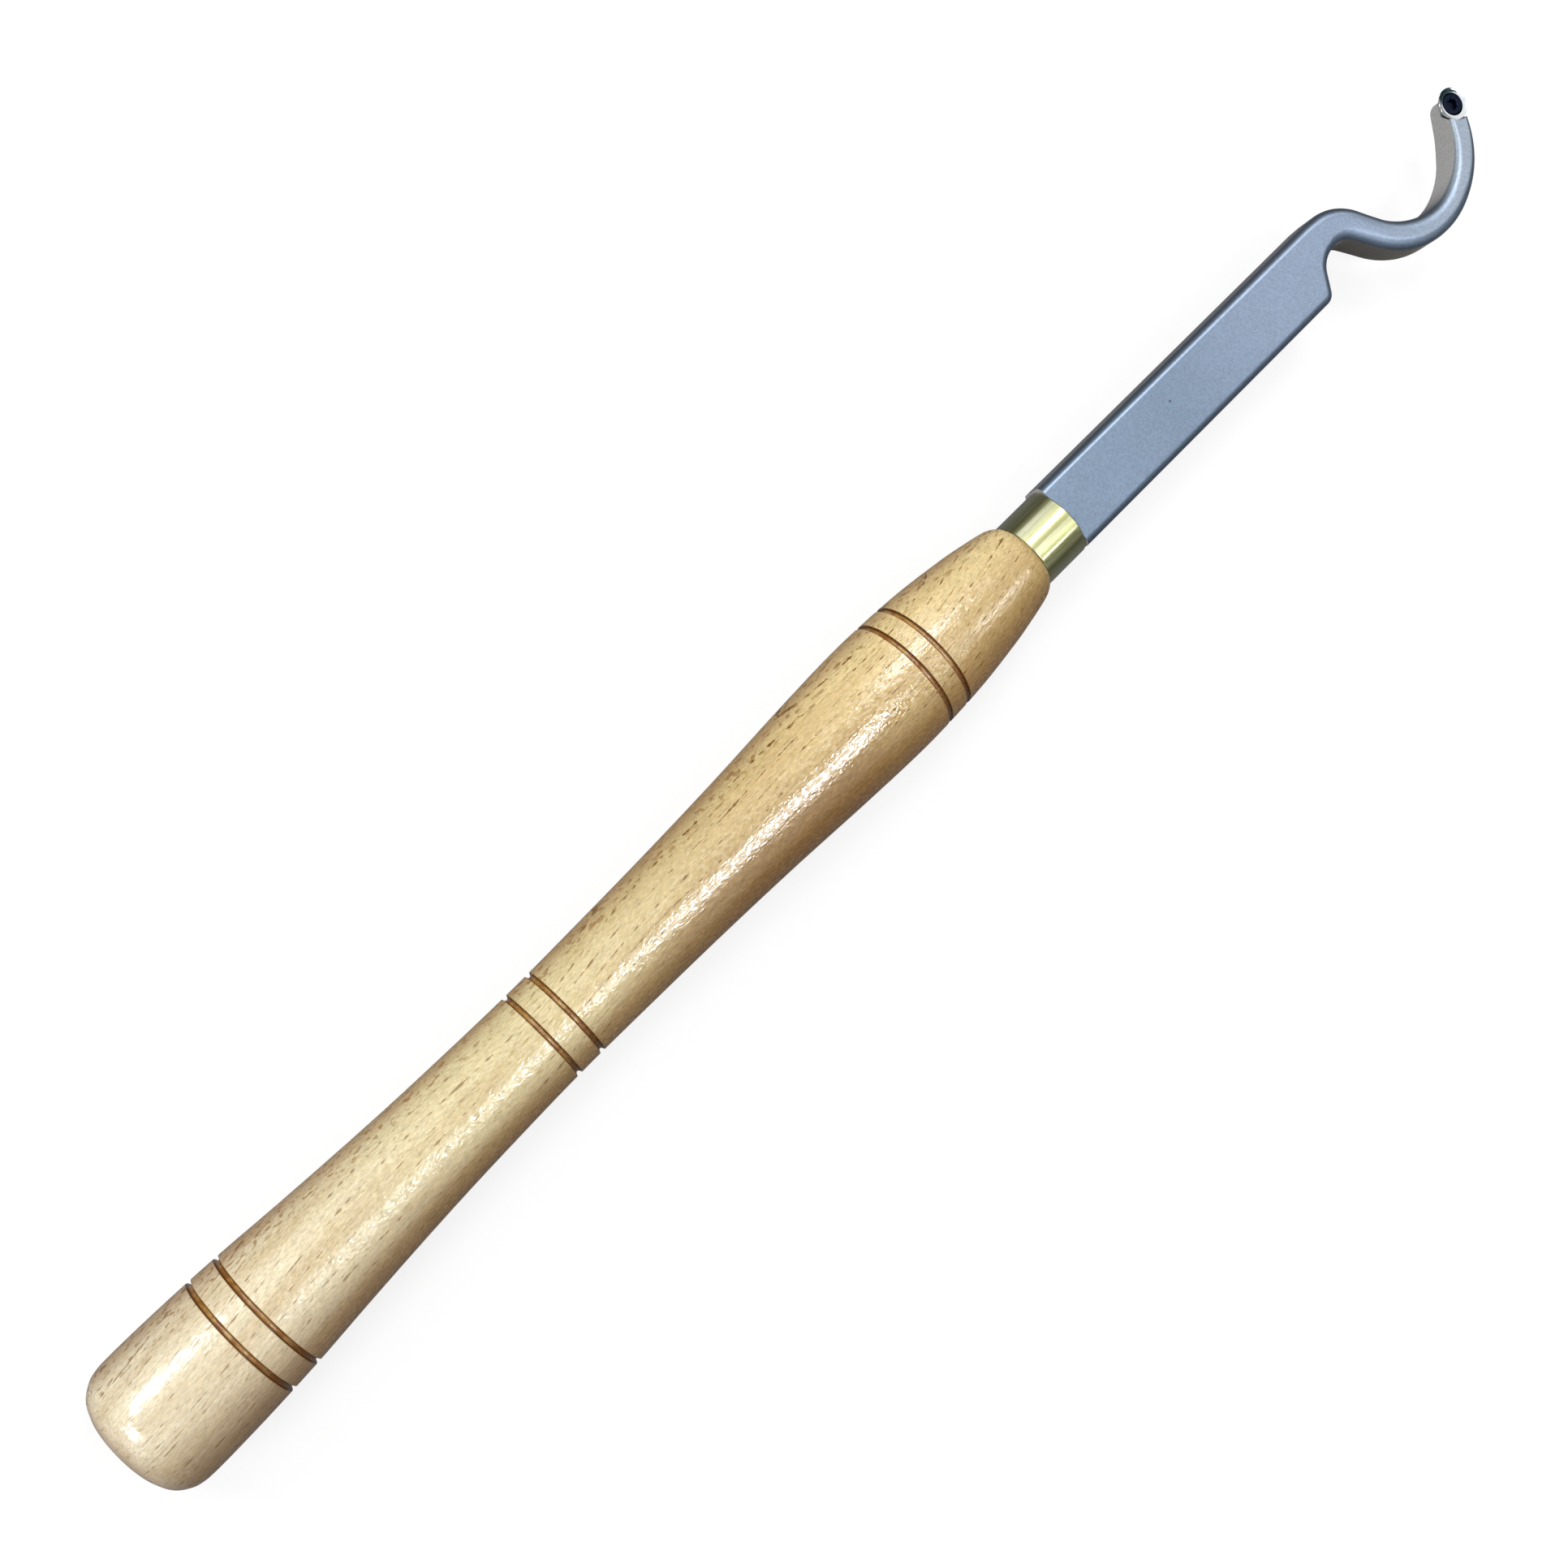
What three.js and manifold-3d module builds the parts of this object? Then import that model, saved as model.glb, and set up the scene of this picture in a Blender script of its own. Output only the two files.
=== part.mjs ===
// Swan neck hollowing tool: a turned beech handle with a brass ferrule, and a flat steel
// bar whose end is cut to a swan neck. Its nose carries a round carbide insert on a screw.
// Millimetres. +X runs from the butt of the handle to the nose, +Z is up, and the flat top
// of the bar faces up. The origin is the middle of the underside of the whole tool's box.
import * as THREE from 'three';
import { mergeVertices } from 'three/addons/utils/BufferGeometryUtils.js';
import Module from 'manifold-3d';

const manifold = await Module();
manifold.setup();

// Handle, turned from beech
const handleLength = 293.9;
const handleRadius = 17.3;
const tenonSetback = 0.4;
const grooveWidth = 1.5;
const grooveDepth = 0.9;

// Outline of the turned handle: [share of handleLength, share of handleRadius]
const handleOutlineShares = [
  [0, 0], [0.0003, 0.266], [0.002, 0.532], [0.0054, 0.694], [0.0095, 0.815], [0.016, 0.908],
  [0.0252, 0.977], [0.0429, 1], [0.0922, 0.986], [0.1453, 0.945], [0.1977, 0.882],
  [0.2521, 0.824], [0.3066, 0.777], [0.3627, 0.746], [0.4376, 0.723], [0.5141, 0.739],
  [0.5924, 0.768], [0.6727, 0.818], [0.7543, 0.893], [0.8169, 0.935], [0.8588, 0.927],
  [0.9013, 0.887], [0.9442, 0.803], [0.966, 0.742], [0.9878, 0.667], [0.9959, 0.615],
  [1, 0.565],
];
// Middles of the three pairs of turned grooves along handleLength
const groovePlaceShares = [0.1184, 0.1446, 0.4348, 0.46, 0.8534, 0.8758];
// One groove in section: [share of grooveWidth, share of grooveDepth]
const grooveSectionShares = [[-0.5, 0], [-0.28, 0.7], [0, 1], [0.28, 0.7], [0.5, 0]];

// Ferrule, brass tube
const ferruleLength = 13.7;
const ferruleRadius = 9.55;
const ferruleWall = 1.25;
const ferruleEdge = 0.35;
const ferruleFit = 0.2;

// Tang, glued into the handle
const tangRadius = 5;
const tangLength = 90;
const tangEndChamfer = 1.5;
const tangRoot = 2;
const glueGap = 0.3;
const boreEndGap = 3;

// Flat bar
const barWidth = 19.1;
const barShift = 0.45;
const barThickness = 12;
const barEdgeRadius = 2.4;
const barCornerRadius = 3.5;
const shoulderGap = 0.3;
const notchRadius = 8.1;
const notchClimb = THREE.MathUtils.degToRad(58);

// Swan neck: its middle line leaves the bar along +X, bends away, and hooks back
const neckStart = 103.3;
const neckRootWidth = 9.8;
const neckRootStraight = 3;
const firstBendRadius = 9.9;
const firstBendTurn = THREE.MathUtils.degToRad(-56.8);
const neckStraight = 6.5;
const hookRadius = 20.6;
const hookTurn = THREE.MathUtils.degToRad(75);
const reachRadius = 27.6;
const reachTurn = THREE.MathUtils.degToRad(46.3);
const noseStraight = 4.1;
// Width to the left and right of the neck's middle line, at even steps from its root to its
// nose, as shares of half of neckRootWidth
const neckLeftShares = [1, 0.827, 0.796, 0.694, 0.61, 0.61];
const neckRightShares = [1, 0.827, 0.796, 0.694, 0.61, 0.46];
// Radius of the neck's upper edges at the same steps, as shares of barEdgeRadius
const neckEdgeShares = [1, 1, 1, 0.9, 0.6, 0.33];

// Round carbide insert, its seat in the nose and the screw that holds it
const insertRadius = 4.45;
const insertThickness = 2.5;
const insertRelief = THREE.MathUtils.degToRad(32);
const insertLand = 0.25;
const insertDish = 0.12;
const insertRim = 1.3;
const insertHoleRadius = 2.2;
const insertTopHeight = 5;
const pocketGap = 0.35;
const seatGap = 0.25;
const seatReach = 0.21;
const seatLean = THREE.MathUtils.degToRad(6);
const noseReliefLength = 18.5;
const noseReliefRise = 4.8;
const screwHeadRadius = 2.74;
const screwHeadSink = 0.25;
const screwHeadEdge = 0.25;
const screwHeadAngle = THREE.MathUtils.degToRad(30);
const screwShankRadius = 1.9;
const screwLength = 6.2;
const screwTipChamfer = 0.4;
const threadGap = 0.2;
const socketRadius = 1.62;
const socketLobeDepth = 0.2;
const socketDepth = 1.4;
const socketLobes = 6;

// Overrun of every cutting shape past the face that it opens
const cutOverrun = 1;

// Facets
const handleSides = 48;
const ferruleSides = 48;
const insertSides = 48;
const screwSides = 32;
const tangSides = 32;
const arcStep = THREE.MathUtils.degToRad(8);
const edgeSteps = 4;
const socketSteps = 36;
const spanPoints = 2;

// Places that follow from the sizes
const ferruleEnd = handleLength + ferruleLength;
const shoulder = ferruleEnd + shoulderGap;
const ferruleBore = ferruleRadius - ferruleWall;
const barLeft = barShift + barWidth / 2;
const barRight = barShift - barWidth / 2;
const thicknessHalf = barThickness / 2;
const noseLeft = neckRootWidth / 2 * neckLeftShares[neckLeftShares.length - 1];
const noseRight = neckRootWidth / 2 * neckRightShares[neckRightShares.length - 1];
const noseHalfWidth = (noseLeft + noseRight) / 2;
const insertLandStart = insertThickness - insertLand;
const insertFootRadius = insertRadius - insertLandStart * Math.tan(insertRelief);

function solidOf(geometry) {
  const bare = geometry.clone();
  bare.deleteAttribute('normal');
  bare.deleteAttribute('uv');
  const merged = mergeVertices(bare);
  return new manifold.Manifold(new manifold.Mesh({
    numProp: 3,
    vertProperties: new Float32Array(merged.attributes.position.array),
    triVerts: new Uint32Array(merged.index.array),
  }));
}

function geometryOf(solid) {
  const { vertProperties, triVerts } = solid.getMesh();
  const geometry = new THREE.BufferGeometry();
  geometry.setAttribute('position', new THREE.BufferAttribute(vertProperties, 3));
  geometry.setIndex(new THREE.BufferAttribute(triVerts, 1));
  geometry.computeVertexNormals();
  return geometry;
}

// A turned form about X, from [place along X, radius] pairs
function turnedAlongX(profile, sides) {
  const points = profile.map(([along, radius]) => new THREE.Vector2(radius, along));
  return new THREE.LatheGeometry(points, sides).rotateZ(-Math.PI / 2);
}

// A turned form about Z, from [radius, height] pairs
function turnedAlongZ(profile, sides) {
  const points = profile.map(([radius, height]) => new THREE.Vector2(radius, height));
  return new THREE.LatheGeometry(points, sides).rotateX(Math.PI / 2);
}

function piece(name, geometry, color, roughness, metalness) {
  const mesh = new THREE.Mesh(geometry, new THREE.MeshStandardMaterial({ color, roughness, metalness }));
  mesh.name = name;
  return mesh;
}

// The turned outline with its grooves let in, then the tenon and the bore for the tang
function handleProfile() {
  const scaled = handleOutlineShares.map(
    ([along, radius]) => new THREE.Vector2(along * handleLength, radius * handleRadius));
  const outline = new THREE.SplineCurve(scaled).getPoints((scaled.length - 1) * spanPoints);
  const radiusAt = (along) => {
    const next = outline.findIndex((point) => point.x > along);
    const [a, b] = [outline[next - 1], outline[next]];
    return THREE.MathUtils.mapLinear(along, a.x, b.x, a.y, b.y);
  };
  let profile = outline.map((point) => [point.x, point.y]);
  for (const share of groovePlaceShares) {
    const middle = share * handleLength;
    const groove = grooveSectionShares.map(([across, deep]) => {
      const along = middle + across * grooveWidth;
      return [along, radiusAt(along) - deep * grooveDepth];
    });
    profile = profile.filter(([along]) => Math.abs(along - middle) > grooveWidth);
    profile.push(...groove);
    profile.sort((a, b) => a[0] - b[0]);
  }
  const tenonRadius = ferruleBore - ferruleFit;
  const tenonEnd = ferruleEnd - tenonSetback;
  const boreRadius = tangRadius + glueGap;
  const boreEnd = shoulder - tangLength - boreEndGap;
  profile.push([handleLength, tenonRadius], [tenonEnd, tenonRadius], [tenonEnd, boreRadius]);
  profile.push([boreEnd, boreRadius], [boreEnd, 0]);
  return profile;
}

function makeHandle() {
  return piece('handle', turnedAlongX(handleProfile(), handleSides), 0xd9bd8c, 0.35, 0);
}

function makeFerrule() {
  const start = handleLength + ferruleFit;
  const profile = [
    [start, ferruleBore], [ferruleEnd, ferruleBore],
    [ferruleEnd, ferruleRadius - ferruleEdge], [ferruleEnd - ferruleEdge, ferruleRadius],
    [start + ferruleEdge, ferruleRadius], [start, ferruleRadius - ferruleEdge],
    [start, ferruleBore],
  ];
  return piece('ferrule', turnedAlongX(profile.reverse(), ferruleSides), 0xb9b06a, 0.3, 1);
}

// Points along an arc from one place and heading, turning left for a positive turn
function arcPoints(place, heading, radius, turn) {
  const side = Math.sign(turn);
  const centre = new THREE.Vector2(
    place.x - side * radius * Math.sin(heading), place.y + side * radius * Math.cos(heading));
  const steps = Math.ceil(Math.abs(turn) / arcStep);
  return Array.from({ length: steps }, (_, i) => {
    const angle = heading + turn * (i + 1) / steps;
    return {
      x: centre.x + side * radius * Math.sin(angle),
      y: centre.y - side * radius * Math.cos(angle),
      heading: angle,
    };
  });
}

function stepOn(from, length) {
  return {
    x: from.x + length * Math.cos(from.heading),
    y: from.y + length * Math.sin(from.heading),
    heading: from.heading,
  };
}

// Middle line of the neck as places with headings
function neckMiddleLine() {
  const line = [{ x: shoulder + neckStart, y: barLeft - neckRootWidth / 2, heading: 0 }];
  const bend = (radius, turn) => {
    const last = line[line.length - 1];
    line.push(...arcPoints(last, last.heading, radius, turn));
  };
  line.push(stepOn(line[0], neckRootStraight));
  bend(firstBendRadius, firstBendTurn);
  line.push(stepOn(line[line.length - 1], neckStraight));
  bend(hookRadius, hookTurn);
  bend(reachRadius, reachTurn);
  line.push(stepOn(line[line.length - 1], noseStraight));
  return line;
}

// The places on one side of the neck, each with the radius of the upper edge there
function neckSide(side) {
  const line = neckMiddleLine();
  const curveOf = (shares, whole) => new THREE.SplineCurve(
    shares.map((share, i) => new THREE.Vector2(i, share * whole)));
  const widths = curveOf(side > 0 ? neckLeftShares : neckRightShares, neckRootWidth / 2);
  const edges = curveOf(neckEdgeShares, barEdgeRadius);
  const runs = [0];
  for (let i = 1; i < line.length; i += 1) {
    runs.push(runs[i - 1] + Math.hypot(line[i].x - line[i - 1].x, line[i].y - line[i - 1].y));
  }
  return line.map(({ x, y, heading }, i) => {
    const along = runs[i] / runs[runs.length - 1];
    const half = widths.getPoint(along).y;
    return {
      x: x - side * half * Math.sin(heading),
      y: y + side * half * Math.cos(heading),
      heading,
      edge: edges.getPoint(along).y,
    };
  });
}

// Outline of the bar and neck seen from above, counter-clockwise
function barOutline() {
  const inner = neckSide(-1).slice(1);
  const outer = neckSide(1);
  const apex = inner[0];
  const tip = inner[inner.length - 1];
  const roundEnd = arcPoints(tip, tip.heading, noseHalfWidth, Math.PI).slice(0, -1);
  const sawnOff = shoulder - tangRoot * 2;

  // below the neck the bar turns a corner, climbs, and runs out through the round notch
  const foot = {
    x: apex.x - notchRadius * Math.sin(notchClimb),
    y: apex.y - notchRadius * (1 - Math.cos(notchClimb)),
  };
  const cornerTop = barRight + barCornerRadius * (1 - Math.cos(notchClimb));
  const cornerEndX = foot.x - (foot.y - cornerTop) / Math.tan(notchClimb);
  const corner = { x: cornerEndX - barCornerRadius * Math.sin(notchClimb), y: barRight };
  return [
    { x: sawnOff, y: barRight }, corner, ...arcPoints(corner, 0, barCornerRadius, notchClimb),
    foot, ...arcPoints(foot, notchClimb, notchRadius, -notchClimb).slice(0, -1),
    ...inner,
    ...roundEnd.map((place) => ({ ...place, edge: tip.edge })),
    ...outer.reverse(),
    { x: sawnOff, y: barLeft },
  ];
}

// A plate of even thickness with rounded edges: rings of the outline, drawn in along its
// normals as the edge rolls over, closed by a flat face above and below. A place of the
// outline may have an upper edge of its own radius.
function roundedPlate(outline, thickness, edge) {
  const count = outline.length;
  const inward = outline.map((_, i) => {
    const before = outline[(i + count - 1) % count];
    const after = outline[(i + 1) % count];
    const along = new THREE.Vector2(after.x - before.x, after.y - before.y).normalize();
    return new THREE.Vector2(-along.y, along.x);
  });
  const half = thickness / 2;
  const rings = [];
  const ring = (side, angle) => {
    rings.push(outline.map(({ x, y, edge: upper = edge }, i) => {
      const radius = side > 0 ? upper : edge;
      const inset = radius * (1 - Math.cos(angle));
      const height = side * (half - radius * (1 - Math.sin(angle)));
      return new THREE.Vector3(x + inward[i].x * inset, y + inward[i].y * inset, height);
    }));
  };
  for (let step = edgeSteps; step >= 0; step -= 1) ring(-1, step / edgeSteps * Math.PI / 2);
  for (let step = 0; step <= edgeSteps; step += 1) ring(1, step / edgeSteps * Math.PI / 2);

  const triangles = [];
  for (let level = 0; level < rings.length - 1; level += 1) {
    for (let i = 0; i < count; i += 1) {
      const [a, b] = [level * count + i, level * count + (i + 1) % count];
      triangles.push(a, b, b + count, a, b + count, a + count);
    }
  }
  const top = (rings.length - 1) * count;
  const face = rings[0].map(({ x, y }) => new THREE.Vector2(x, y));
  for (const [a, b, c] of THREE.ShapeUtils.triangulateShape(face, [])) {
    triangles.push(top + a, top + b, top + c, a, c, b);
  }
  const geometry = new THREE.BufferGeometry().setFromPoints(rings.flat());
  geometry.setIndex(triangles);
  return geometry;
}

// Frame of the insert's seat: its middle is under the insert, a little past the middle of
// the nose's round end, and its Z leans to the outer side of the hook
function seatFrame() {
  const line = neckMiddleLine();
  const { x, y, heading } = stepOn(line[line.length - 1], seatReach);
  const frame = new THREE.Object3D();
  frame.position.set(x, y, insertTopHeight);
  frame.rotation.set(seatLean, 0, heading, 'ZXY');
  frame.translateZ(-insertThickness - seatGap);
  frame.updateMatrix();
  return frame;
}

// A slab that rises under the nose, to cut it back to a thin heel below the insert
function noseRelief() {
  const line = neckMiddleLine();
  const tip = stepOn(line[line.length - 1], noseHalfWidth);
  const rise = Math.atan2(noseReliefRise, noseReliefLength);
  const slab = new THREE.BoxGeometry(noseReliefLength * 2, neckRootWidth * 2, thicknessHalf);
  slab.translate(0, 0, -thicknessHalf / 2);
  slab.rotateY(-rise);
  slab.translate(0, 0, noseReliefRise - thicknessHalf);
  slab.rotateZ(tip.heading);
  slab.translate(tip.x, tip.y, 0);
  return slab;
}

function makeSwanNeckBar() {
  const plate = solidOf(roundedPlate(barOutline(), barThickness, barEdgeRadius));
  const sawn = new THREE.BoxGeometry(tangRoot * 4, barWidth * 2, barThickness * 2);
  sawn.translate(shoulder - tangRoot * 2, 0, 0);
  const tangEnd = shoulder - tangLength;
  const tang = turnedAlongX([
    [tangEnd, 0], [tangEnd, tangRadius - tangEndChamfer], [tangEnd + tangEndChamfer, tangRadius],
    [shoulder + tangRoot, tangRadius], [shoulder + tangRoot, 0],
  ], tangSides);

  // the pocket follows the tapered side of the insert and opens through the nose's sides
  const seat = seatFrame();
  const pocketRadius = insertRadius + pocketGap;
  const pocket = turnedAlongZ([
    [0, 0], [insertFootRadius + pocketGap, 0], [pocketRadius, seatGap + insertLandStart],
    [pocketRadius, barThickness], [0, barThickness],
  ], insertSides).applyMatrix4(seat.matrix);
  const hole = screwShankRadius + threadGap;
  const tapped = turnedAlongZ([
    [0, -barThickness], [hole, -barThickness], [hole, cutOverrun], [0, cutOverrun],
  ], screwSides).applyMatrix4(seat.matrix);

  const solid = plate
    .subtract(solidOf(sawn))
    .add(solidOf(tang))
    .subtract(solidOf(pocket))
    .subtract(solidOf(noseRelief()))
    .subtract(solidOf(tapped));
  return piece('swan_neck_bar', geometryOf(solid), 0x8f9eb3, 0.55, 0.6);
}

// Height of the 60 degree countersink at a radius, measured from the insert's top face
function countersinkHeight(radius) {
  return insertThickness - (insertRadius - insertRim - radius) / Math.tan(screwHeadAngle);
}

function makeCutterInsert() {
  const sinkRadius = insertRadius - insertRim;
  const profile = [
    [insertHoleRadius, 0], [insertFootRadius, 0], [insertRadius, insertLandStart],
    [insertRadius, insertThickness],
    [insertRadius - insertRim / 2, insertThickness - insertDish],
    [sinkRadius, insertThickness], [insertHoleRadius, countersinkHeight(insertHoleRadius)],
    [insertHoleRadius, 0],
  ];
  const geometry = turnedAlongZ(profile, insertSides).translate(0, 0, seatGap);
  return piece('cutter_insert', geometry, 0xd5dadf, 0.12, 1);
}

// Six-lobed socket, as a prism sunk into the head
function socketPrism(top) {
  const outline = Array.from({ length: socketSteps }, (_, i) => {
    const angle = i / socketSteps * 2 * Math.PI;
    const radius = socketRadius - socketLobeDepth * (1 - Math.cos(socketLobes * angle));
    return new THREE.Vector2(radius * Math.cos(angle), radius * Math.sin(angle));
  });
  const prism = new THREE.ExtrudeGeometry(new THREE.Shape(outline), {
    depth: socketDepth + cutOverrun, bevelEnabled: false,
  });
  return prism.translate(0, 0, top - socketDepth);
}

function makeInsertScrew() {
  const headTop = insertThickness - screwHeadSink;
  const coneStart = headTop - screwHeadEdge;
  const neck = coneStart - (screwHeadRadius - screwShankRadius) / Math.tan(screwHeadAngle);
  const end = headTop - screwLength;
  const body = turnedAlongZ([
    [0, end], [screwShankRadius - screwTipChamfer, end], [screwShankRadius, end + screwTipChamfer],
    [screwShankRadius, neck], [screwHeadRadius, coneStart], [screwHeadRadius, headTop], [0, headTop],
  ], screwSides);
  const solid = solidOf(body).subtract(solidOf(socketPrism(headTop)));
  return piece('insert_screw', geometryOf(solid).translate(0, 0, seatGap), 0x23262c, 0.4, 0.9);
}

const tool = new THREE.Group();
const nose = new THREE.Group();
nose.applyMatrix4(seatFrame().matrix);
nose.add(makeCutterInsert(), makeInsertScrew());
tool.add(makeHandle(), makeFerrule(), makeSwanNeckBar(), nose);

// The origin goes to the middle of the underside of the box round the whole tool
const box = new THREE.Box3().setFromObject(tool, true);
const middle = box.getCenter(new THREE.Vector3());
tool.position.set(-middle.x, -middle.y, -box.min.z);

export default tool;
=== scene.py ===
import math

import bmesh
import bpy
from mathutils import Matrix, Vector


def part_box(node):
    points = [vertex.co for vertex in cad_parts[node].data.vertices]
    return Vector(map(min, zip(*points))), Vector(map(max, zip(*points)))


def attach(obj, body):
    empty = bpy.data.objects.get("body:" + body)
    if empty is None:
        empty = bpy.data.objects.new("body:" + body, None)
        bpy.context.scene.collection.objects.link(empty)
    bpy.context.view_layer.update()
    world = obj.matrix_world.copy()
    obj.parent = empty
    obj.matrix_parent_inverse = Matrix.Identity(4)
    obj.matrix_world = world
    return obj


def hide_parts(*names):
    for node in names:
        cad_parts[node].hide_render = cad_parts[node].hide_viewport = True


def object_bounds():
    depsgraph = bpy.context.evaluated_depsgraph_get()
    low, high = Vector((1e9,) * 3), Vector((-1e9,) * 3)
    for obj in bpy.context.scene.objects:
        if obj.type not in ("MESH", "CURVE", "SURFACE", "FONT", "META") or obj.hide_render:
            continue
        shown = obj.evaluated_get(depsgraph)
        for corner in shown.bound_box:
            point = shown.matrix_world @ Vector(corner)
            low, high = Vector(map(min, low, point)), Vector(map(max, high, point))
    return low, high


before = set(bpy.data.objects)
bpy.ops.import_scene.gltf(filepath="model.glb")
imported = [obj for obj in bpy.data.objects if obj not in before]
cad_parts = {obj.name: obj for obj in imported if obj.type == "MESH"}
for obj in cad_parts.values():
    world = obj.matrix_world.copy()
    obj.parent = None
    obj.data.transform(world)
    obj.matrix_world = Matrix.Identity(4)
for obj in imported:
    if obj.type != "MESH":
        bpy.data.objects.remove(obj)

cad_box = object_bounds()

MM = 0.001

# Handle
HANDLE_LENGTH = 293.9
HANDLE_RADIUS = 17.3
TENON_SETBACK = 0.4
GROOVE_WIDTH = 1.5
GROOVE_DEPTH = 0.9
GROOVE_FULLNESS = 2.4
# how far from a groove's middle the scorch ends and fades, and where the char is blackest
SCORCH_REACH = 0.8
SCORCH_FADE = 0.1
CHAR_MIDDLE = 0.6
CHAR_SPREAD = 0.16
# shares of the handle's length, each with a share of its radius
HANDLE_OUTLINE = [
    (0, 0), (0.0003, 0.266), (0.002, 0.532), (0.0054, 0.694), (0.0095, 0.815), (0.016, 0.908),
    (0.0252, 0.977), (0.0429, 1), (0.0922, 0.986), (0.1453, 0.945), (0.1977, 0.882),
    (0.2521, 0.824), (0.3066, 0.777), (0.3627, 0.746), (0.4376, 0.723), (0.5141, 0.739),
    (0.5924, 0.768), (0.6727, 0.818), (0.7543, 0.893), (0.8169, 0.935), (0.8588, 0.927),
    (0.9013, 0.887), (0.9442, 0.803), (0.966, 0.742), (0.9878, 0.667), (0.9959, 0.615),
    (1, 0.565),
]
# shares of the handle's length
GROOVE_PLACES = [0.1184, 0.1446, 0.4348, 0.46, 0.8534, 0.8758]

# Ferrule and tang
FERRULE_LENGTH = 13.7
FERRULE_RADIUS = 9.55
FERRULE_WALL = 1.25
FERRULE_EDGE = 0.35
FERRULE_FIT = 0.2
BORE_EDGE = 0.15
TANG_RADIUS = 5.0
TANG_LENGTH = 90.0
TANG_CHAMFER = 1.5
TANG_ROOT = 2.0
GLUE_GAP = 0.3
BORE_END_GAP = 3.0

# Bar and neck
BAR_WIDTH = 19.1
BAR_SHIFT = 0.45
BAR_THICKNESS = 12.0
BAR_EDGE = 2.4
BAR_CORNER = 3.5
SHOULDER_GAP = 0.3
NOTCH_RADIUS = 8.1
NOTCH_CLIMB = math.radians(58)
NECK_START = 103.3
NECK_ROOT_WIDTH = 9.8
NECK_ROOT_STRAIGHT = 3.0
NECK_STRAIGHT = 6.5
NOSE_STRAIGHT = 4.1
# radius of each bend, and how far it turns, to the left where that is positive
FIRST_BEND = (9.9, math.radians(-56.8))
HOOK = (20.6, math.radians(75))
REACH = (27.6, math.radians(46.3))
# from root to nose: shares of the root's half width to the left and right of the middle
# line, and shares of the bar's edge for how deep the neck's upper edges roll, and how far in
NECK_LEFT = [1, 0.827, 0.796, 0.694, 0.61, 0.61]
NECK_RIGHT = [1, 0.827, 0.796, 0.694, 0.61, 0.46]
NECK_EDGES = [1, 1, 1, 0.9, 0.6, 0.33]
NECK_ROLLS = [1, 1.42, 1.46, 1.25, 0.8, 0.33]

# Insert, seat and screw
INSERT_RADIUS = 4.45
INSERT_THICKNESS = 2.5
INSERT_RELIEF = math.radians(32)
INSERT_LAND = 0.25
INSERT_RIM = 1.3
INSERT_HOLE = 2.2
INSERT_TOP = 5.0
INSERT_EDGE = 0.03
CUP_START = 0.05
CUP_DEPTH = 0.3
POCKET_GAP = 0.35
SEAT_GAP = 0.25
SEAT_REACH = 0.21
SEAT_LEAN = math.radians(6)
NOSE_RELIEF_LENGTH = 18.5
NOSE_RELIEF_RISE = 4.8
SINK_ANGLE = math.radians(30)
SCREW_HEAD = 2.74
SCREW_SINK = 0.25
SCREW_SHANK = 1.9
SCREW_LENGTH = 6.2
SCREW_HEAD_EDGE = 0.25
SCREW_TIP = 0.4
THREAD_PITCH = 0.7
THREAD_DEPTH = 0.34
THREAD_RUNOUT = 0.3
THREAD_GAP = 0.2
SOCKET_RADIUS = 1.62
SOCKET_LOBE = 0.2
SOCKET_DEPTH = 1.4
SOCKET_LOBES = 6

# How fine the pieces are: sides of round ones, then steps and spacings
HANDLE_SIDES = 144
FERRULE_SIDES = 192
TANG_SIDES = 48
POCKET_SIDES = 128
HOLE_SIDES = 64
INSERT_SIDES = 160
SCREW_SIDES = 64
SOCKET_SIDES = 72
EDGE_STEPS = 8
FERRULE_STEPS = 6
CUP_STEPS = 12
GROOVE_STEPS = 22
GROOVE_REACH = 1.3
STATION = 0.6
BUTT_DOME = 14
FRONT_DOME = 4

# Places that follow from the sizes
FERRULE_END = HANDLE_LENGTH + FERRULE_LENGTH
SHOULDER = FERRULE_END + SHOULDER_GAP
FERRULE_BORE = FERRULE_RADIUS - FERRULE_WALL
BAR_LEFT = BAR_SHIFT + BAR_WIDTH / 2
BAR_RIGHT = BAR_SHIFT - BAR_WIDTH / 2
NOSE_HALF = NECK_ROOT_WIDTH * (NECK_LEFT[-1] + NECK_RIGHT[-1]) / 4
INSERT_FOOT = INSERT_RADIUS - (INSERT_THICKNESS - INSERT_LAND) * math.tan(INSERT_RELIEF)

handle_low, handle_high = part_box("handle")
BUTT = handle_low[0]
AXIS_Y = (handle_low[1] + handle_high[1]) / 2
AXIS_Z = (handle_low[2] + handle_high[2]) / 2


def spot(along, left=0.0, up=0.0):
    """A point of the frame, from millimetres along the tool, left of its axis and above it."""
    return Vector((BUTT + along * MM, AXIS_Y + left * MM, AXIS_Z + up * MM))


# From local millimetres into the frame: the whole tool, and things turned on its axis
TOOL = Matrix.Translation(spot(0)) @ Matrix.Diagonal((MM, MM, MM, 1))
LATHE = TOOL @ Matrix(((0, 0, 1, 0), (1, 0, 0, 0), (0, 1, 0, 0), (0, 0, 0, 1)))


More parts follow.
